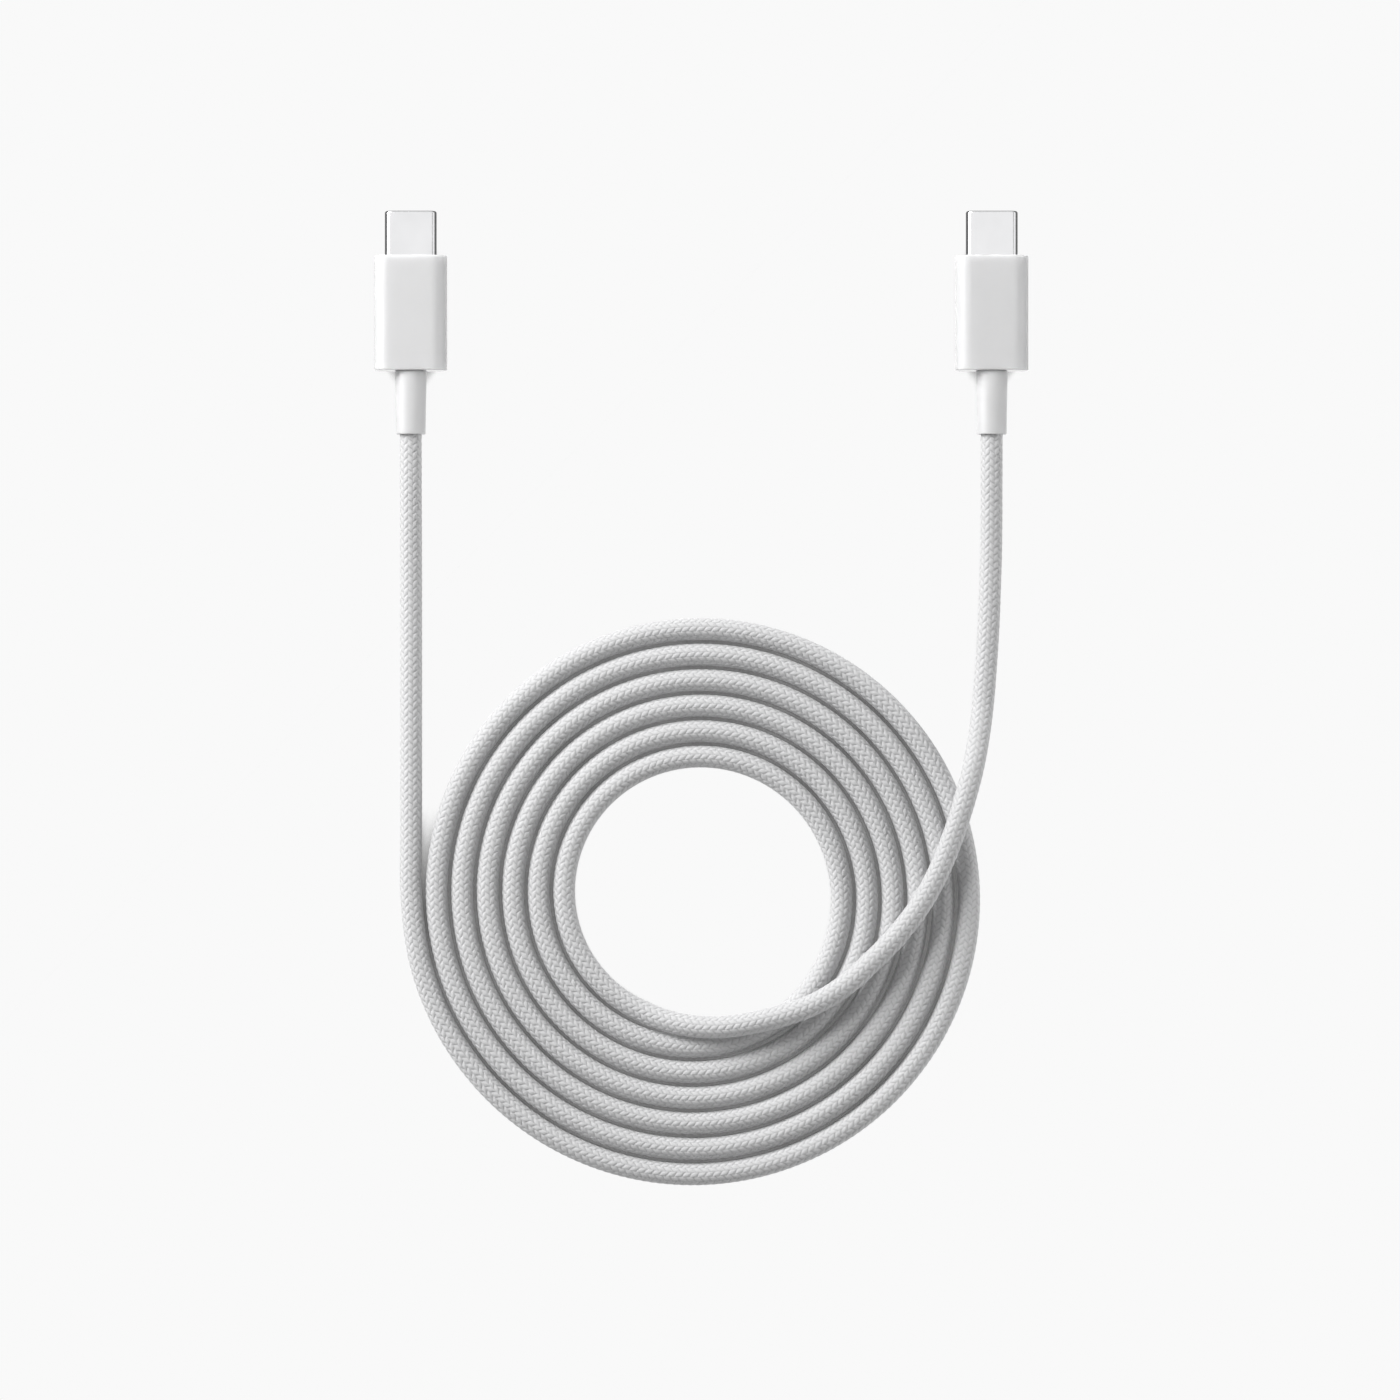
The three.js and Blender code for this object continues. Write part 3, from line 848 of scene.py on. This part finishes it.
@dataclass(frozen=True)
class Ring:
    """A rounded rectangle across a plug, all sizes in metres.

    Its corners stop just short of half a side, so that no two of its points fall together.
    """

    half_width: float
    half_height: float
    corner: float
    y: float
    fullest_corner: float = 0.985

    @classmethod
    def round(cls, radius: float, y: float) -> "Ring":
        """A round ring.

        Args:
            radius: its radius.
            y: its place along the plug.

        Returns:
            The ring.
        """
        return cls(radius, radius, radius, y)

    def points(self, centre: Vector, arc_steps: int = 14, side_steps: int = 6) -> np.ndarray:
        """The ring's points, anticlockwise as seen from the plug's tip.

        Args:
            centre: the plug's axis; its Y is not used.
            arc_steps: points on a corner.
            side_steps: points on a side.

        Returns:
            One point to a row.
        """
        corner = min(self.corner, self.fullest_corner * min(self.half_width, self.half_height))
        in_x, in_z = self.half_width - corner, self.half_height - corner
        sector = np.linspace(0.0, math.pi / 2.0, arc_steps + 1)
        outline = []
        for quarter, (sx, sz) in enumerate(((-1, 1), (-1, -1), (1, -1), (1, 1))):
            turn = sector + math.pi / 2.0 * (quarter + 1)
            x, z = sx * in_x + corner * np.cos(turn), sz * in_z + corner * np.sin(turn)
            outline.append(np.column_stack([x, z]))
        closed = []
        for arc, following in zip(outline, outline[1:] + outline[:1]):
            share = np.linspace(0.0, 1.0, side_steps + 1)[1:-1, None]
            closed.extend([arc, arc[-1] * (1 - share) + following[0] * share])
        flat = np.vstack(closed)
        y = np.full(len(flat), self.y)
        return np.column_stack([flat[:, 0] + centre.x, y, flat[:, 1] + centre.z])


SHARPEST_CORNER = 0.02 * MM
SUPPORT = 1.4
CREASE = math.radians(40.0)


def rounded_edge(outer: Ring, depth: float, reach: float, steps: int = 6) -> list[Ring]:
    """The rings of a rounded edge, from a flat end round to the side.

    The last ring lies past the edge, so that the side's shading stays flat.

    Args:
        outer: the ring of the side, at the end's own Y.
        depth: how far the edge goes along Y, with its sign, from the end.
        reach: how far it goes in from the side.
        steps: the number of rings after the first.

    Returns:
        The rings, the flat end's first.
    """
    rings = []
    for step in range(steps + 1):
        turn = math.pi / 2.0 * step / steps
        inset = reach * (1.0 - math.sin(turn))
        along = depth * (1.0 - math.cos(turn))
        corner = max(outer.corner - inset, SHARPEST_CORNER)
        rings.append(Ring(outer.half_width - inset, outer.half_height - inset, corner, outer.y + along))
    rings.append(replace(outer, y=outer.y + SUPPORT * depth))
    return rings


def loop_of_rings(name: str, rings: list[Ring], centre: Vector) -> bpy.types.Object:
    """A closed skin through rings that end where they began, so it has a hole along Y.

    Args:
        name: the piece's name.
        rings: the rings in order round the wall.
        centre: the plug's axis.

    Returns:
        The piece.
    """
    rows = np.array([ring.points(centre) for ring in rings])
    count, width = rows.shape[:2]
    grid = np.arange(count * width).reshape(count, width)
    ahead, beside = np.roll(grid, -1, axis=0), np.roll(grid, -1, axis=1)
    corners = np.stack([grid, beside, np.roll(ahead, -1, axis=1), ahead], axis=-1).reshape(-1, 4)
    mesh = bpy.data.meshes.new(name)
    mesh.from_pydata(rows.reshape(-1, 3).tolist(), [], corners.tolist())
    work = bmesh.new()
    work.from_mesh(mesh)
    bmesh.ops.recalc_face_normals(work, faces=work.faces)
    for face in work.faces:
        face.smooth = True
    for edge in work.edges:
        edge.smooth = edge.calc_face_angle(0.0) < CREASE
    work.to_mesh(mesh)
    work.free()
    piece = bpy.data.objects.new(name, mesh)
    bpy.context.scene.collection.objects.link(piece)
    return piece


@dataclass
class PlugEnd:
    """One plug's shell, cover and strain relief."""

    side: Side
    shell_wall: float = 0.25 * MM
    shell_lip: float = 0.32 * MM
    shell_lip_depth: float = 1.2
    shell_end_support: float = 0.05 * MM
    # The inside of the shell's mouth: how far in from the outside, and how far back from the tip.
    mouth_curl: tuple = ((0.25, 0.6), (0.26, 0.4), (0.33, 0.25), (0.39, 0.12), (0.38, 0.03))
    cover_wall: float = 0.9 * MM
    cover_corner: float = 2.6 * MM
    cover_edge: float = 0.2 * MM
    mouth_gap: float = 0.1 * MM
    mouth_chamfer: float = 0.12 * MM
    rear_hole: float = 2.3 * MM
    rear_chamfer: float = 0.1 * MM
    relief_bore: float = 1.9 * MM
    relief_chamfer: float = 0.05 * MM
    relief_taper: float = 0.19 * MM
    taper_power: float = 1.15
    relief_lip: float = 0.2 * MM
    lip_inset: float = 0.6
    shoulder_inset: float = 0.5
    root_radius: float = 2.2 * MM
    root_gap: float = 0.05 * MM

    def build(self, wardrobe: Wardrobe) -> list[bpy.types.Object]:
        """Make and dress the plug's outer pieces.

        Args:
            wardrobe: the finishes.

        Returns:
            The pieces.
        """
        made = [
            (self._shell(), "connector_shell", Slot.SHELL),
            (self._cover(), "outer_cover", Slot.COVER),
            (self._relief(), "strain_relief", Slot.RELIEF),
        ]
        for piece, node, slot in made:
            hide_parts(f"{self.side.value}_{node}")
            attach(piece, f"{self.side.value}_plug")
            wardrobe.dress(piece, slot)
            LOG.info("made %s with %d faces", piece.name, len(piece.data.polygons))
        return [piece for piece, _, _ in made]

    def _frame(self, node: str) -> tuple[Vector, Vector, Vector]:
        """A node's lowest and highest corners and its middle.

        Args:
            node: the node's name after the side.

        Returns:
            The two corners and the middle.
        """
        low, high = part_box(f"{self.side.value}_{node}")
        return low, high, (low + high) / 2.0

    def _shell(self) -> bpy.types.Object:
        """The drawn steel tube, its mouth rounded inside and out.

        Returns:
            The piece.
        """
        low, high, centre = self._frame("connector_shell")
        half_width, half_height = (high.x - low.x) / 2, (high.z - low.z) / 2
        outer = Ring(half_width, half_height, half_height, high.y)
        rings = rounded_edge(outer, -self.shell_lip_depth * self.shell_lip, self.shell_lip)
        rings.append(replace(outer, y=low.y + self.shell_end_support))
        rings.append(replace(outer, y=low.y))
        curl = [(inset * MM, high.y - back * MM) for inset, back in self.mouth_curl]
        for inset, y in [(self.shell_wall, low.y), *curl]:
            rings.append(Ring(half_width - inset, half_height - inset, half_height - inset, y))
        return loop_of_rings(f"{self.side.value}_drawn_shell", rings, centre)

    def _cover(self) -> bpy.types.Object:
        """The glossy moulding, open for the shell in front and for the cord behind.

        Returns:
            The piece.
        """
        low, high, centre = self._frame("outer_cover")
        half_width, half_height = (high.x - low.x) / 2, (high.z - low.z) / 2
        shell_low, shell_high, _ = self._frame("connector_shell")
        slot_height = (shell_high.z - shell_low.z) / 2 + self.mouth_gap
        slot_width = (shell_high.x - shell_low.x) / 2 + self.mouth_gap
        front = Ring(half_width, half_height, self.cover_corner, high.y)
        rear = Ring(half_width, half_height, self.cover_corner, low.y)
        wall, chamfer = self.cover_wall, self.mouth_chamfer
        room = (half_width - wall, half_height - wall, self.cover_corner - wall)
        rings = [Ring(slot_width, slot_height, slot_height, high.y - chamfer)]
        rings.append(Ring(slot_width + chamfer, slot_height + chamfer, slot_height + chamfer, high.y))
        rings += rounded_edge(front, -self.cover_edge, self.cover_edge)
        rings += rounded_edge(rear, self.cover_edge, self.cover_edge)[::-1]
        rings.append(Ring.round(self.rear_hole + self.rear_chamfer, low.y))
        rings.append(Ring.round(self.rear_hole, low.y + self.rear_chamfer))
        rings.append(Ring.round(self.rear_hole, low.y + wall))
        rings.append(Ring(*room, low.y + wall))
        rings.append(Ring(*room, high.y - wall))
        rings.append(Ring(slot_width, slot_height, slot_height, high.y - wall))
        return loop_of_rings(f"{self.side.value}_glossy_cover", rings, centre)

    def _relief(self) -> bpy.types.Object:
        """The slightly tapered sleeve, with a thick rounded lip round the cord.

        Returns:
            The piece.
        """
        low, high, centre = self._frame("strain_relief")
        cover_low, _, _ = self._frame("outer_cover")
        wide = (high.x - low.x) / 2
        narrow = wide - self.relief_taper
        shoulder = cover_low.y - self.root_gap
        lip, bore, chamfer = self.relief_lip, self.relief_bore, self.relief_chamfer
        rings = [Ring.round(bore, low.y + 2 * chamfer), Ring.round(bore + chamfer, low.y + chamfer / 2)]
        for turn in np.linspace(0.0, math.pi / 2.0, 7):
            radius = narrow - lip * self.lip_inset * (1.0 - math.sin(turn))
            rings.append(Ring.round(radius, low.y + lip * (1.0 - math.cos(turn))))
        for share in np.linspace(0.0, 1.0, 9)[1:]:
            radius = narrow + self.relief_taper * share ** self.taper_power
            rings.append(Ring.round(radius, low.y + lip + (shoulder - low.y - 2 * lip) * share))
        for turn in np.linspace(0.0, math.pi / 2.0, 5)[1:]:
            radius = wide - lip * self.shoulder_inset * (1.0 - math.cos(turn))
            rings.append(Ring.round(radius, shoulder - lip * (1.0 - math.sin(turn))))
        for radius, y in ((self.root_radius, shoulder), (self.root_radius, high.y), (bore, high.y)):
            rings.append(Ring.round(radius, y))
        return loop_of_rings(f"{self.side.value}_cord_sleeve", rings, centre)


# ---------------------------------------------------------------- the studio


@dataclass(frozen=True)
class Softbox:
    """A rectangular soft light, with the surfaces that it lights."""

    name: str
    place: tuple[float, float, float]
    size: tuple[float, float]
    radiance: float
    in_gloss: bool = True
    in_matt: bool = True

    def hang(self, target: Vector) -> None:
        """Hang the light so that it faces a point.

        Args:
            target: the point.
        """
        data = bpy.data.lights.new(self.name, "AREA")
        data.shape = "RECTANGLE"
        data.size, data.size_y = self.size
        data.energy = self.radiance * math.pi * self.size[0] * self.size[1]
        lamp = bpy.data.objects.new(self.name, data)
        lamp.location = self.place
        lamp.rotation_euler = (target - Vector(self.place)).to_track_quat("-Z", "Y").to_euler()
        lamp.visible_glossy = self.in_gloss
        lamp.visible_diffuse = self.in_matt
        bpy.context.scene.collection.objects.link(lamp)


# The key stands at the upper left. The cards are what steel and gloss reflect, and the fills,
# which stand just above the floor, light only the sides that face them.
LIGHTS = (
    Softbox("key", (-0.58, 0.52, 0.48), (0.75, 0.5), 10.2),
    Softbox("top_card", (0.0, -0.06, 1.3), (2.6, 2.6), 0.75, in_matt=False),
    Softbox("left_card", (-1.4, -0.06, 0.7), (2.6, 1.0), 1.95, in_matt=False),
    Softbox("right_card", (1.4, -0.06, 0.5), (2.6, 0.9), 0.75, in_matt=False),
    Softbox("front_card", (0.0, 1.4, 0.55), (2.6, 1.0), 0.75, in_matt=False),
    Softbox("left_fill", (-1.4, -0.06, 0.2), (2.6, 0.36), 0.9, in_gloss=False),
    Softbox("right_fill", (1.4, -0.06, 0.2), (2.6, 0.36), 3.3, in_gloss=False),
)


@dataclass
class Studio:
    """A pale floor, soft lights, and a camera straight above."""

    view_width: float = 222.2 * MM
    view_centre: tuple[float, float] = (-0.2 * MM, -59.8 * MM)
    focus_height: float = 2.0 * MM
    lens: float = 150.0
    sensor: float = 36.0
    room_glow: float = 0.15
    sky_glow: float = 0.15
    floor_size: float = 6.0
    floor_drop: float = 0.06 * MM
    floor_white: float = 0.947
    # How the floor's glow is dimmed into painted shade where the cord closes over it.
    gap_reach: float = 3.0 * MM
    gap_painted_shade: float = 0.02
    gap_closed: float = 0.12
    gap_open: float = 0.5

    def set_camera(self) -> None:
        """Put the camera above the cable, its top towards +Y."""
        data = bpy.data.cameras.new("overhead_camera")
        data.lens = self.lens
        data.sensor_width = self.sensor
        data.clip_start = 0.01
        camera = bpy.data.objects.new("overhead_camera", data)
        distance = self.view_width * self.lens / self.sensor
        camera.location = (*self.view_centre, distance + self.focus_height)
        bpy.context.scene.collection.objects.link(camera)
        bpy.context.scene.camera = camera
        bpy.context.scene.view_settings.view_transform = "Standard"

    def light(self) -> None:
        """Light the room, hang the lights and lay the floor."""
        self._room()
        for softbox in LIGHTS:
            softbox.hang(Vector((*self.view_centre, 0.0)))
        self._floor()

    def _room(self) -> None:
        """Make the room: dim below, brighter above the horizon, and floor white straight down."""
        world = bpy.data.worlds.new("white_room")
        world.use_nodes = True
        graph = Graph(world.node_tree)
        split = graph.node("ShaderNodeSeparateXYZ")
        graph.feed(split.inputs[0], graph.node("ShaderNodeTexCoord").outputs["Generated"])
        up = split.outputs[2]
        below = graph.between(up, self.floor_white, self.room_glow, start=-0.97, end=-0.8)
        above = graph.between(up, 0.0, self.sky_glow, start=-0.1, end=0.1)
        backdrop = world.node_tree.nodes["Background"]
        backdrop.inputs["Color"].default_value = (1.0, 1.0, 1.0, 1.0)
        graph.feed(backdrop.inputs["Strength"], graph.maths("ADD", below, above))
        bpy.context.scene.world = world

    def _floor(self) -> None:
        """Lay a light table just under the cable: evenly white, with painted shade only in narrow gaps,
        where ambient occlusion dims its glow.
        """
        material = bpy.data.materials.new("light_table")
        material.use_nodes = True
        material.node_tree.nodes.clear()
        graph = Graph(material.node_tree)
        # Painted shade: the glow falls to a small share wherever ambient occlusion finds the cord close
        # over the floor, as in the gaps between turns.
        openness = graph.node("ShaderNodeAmbientOcclusion", samples=16)
        openness.inputs["Distance"].default_value = self.gap_reach
        share = graph.between(openness.outputs["AO"], self.gap_painted_shade, 1.0, self.gap_closed, self.gap_open)
        glow = graph.node("ShaderNodeEmission")
        graph.feed(glow.inputs["Strength"], graph.maths("MULTIPLY", share, self.floor_white))
        graph.feed(graph.node("ShaderNodeOutputMaterial").inputs["Surface"], glow.outputs[0])
        mesh = bpy.data.meshes.new("pale_floor")
        half, height = self.floor_size / 2, CAD_BOX[0][2] - self.floor_drop
        corners = [(x * half, y * half, height) for x, y in ((-1, -1), (1, -1), (1, 1), (-1, 1))]
        mesh.from_pydata(corners, [], [(0, 1, 2, 3)])
        mesh.materials.append(material)
        floor = bpy.data.objects.new("pale_floor", mesh)
        floor.visible_glossy = False
        bpy.context.scene.collection.objects.link(floor)


# ---------------------------------------------------------------- all of it


def main() -> None:
    """Build the whole look of the cable."""
    logging.basicConfig(level=logging.INFO, format="%(message)s")
    studio = Studio()
    studio.set_camera()
    wardrobe = Wardrobe()
    BraidedCord().build(wardrobe)
    for side in Side:
        PlugEnd(side).build(wardrobe)
    wardrobe.dress_frame()
    studio.light()


if __name__ == "__main__":
    main()
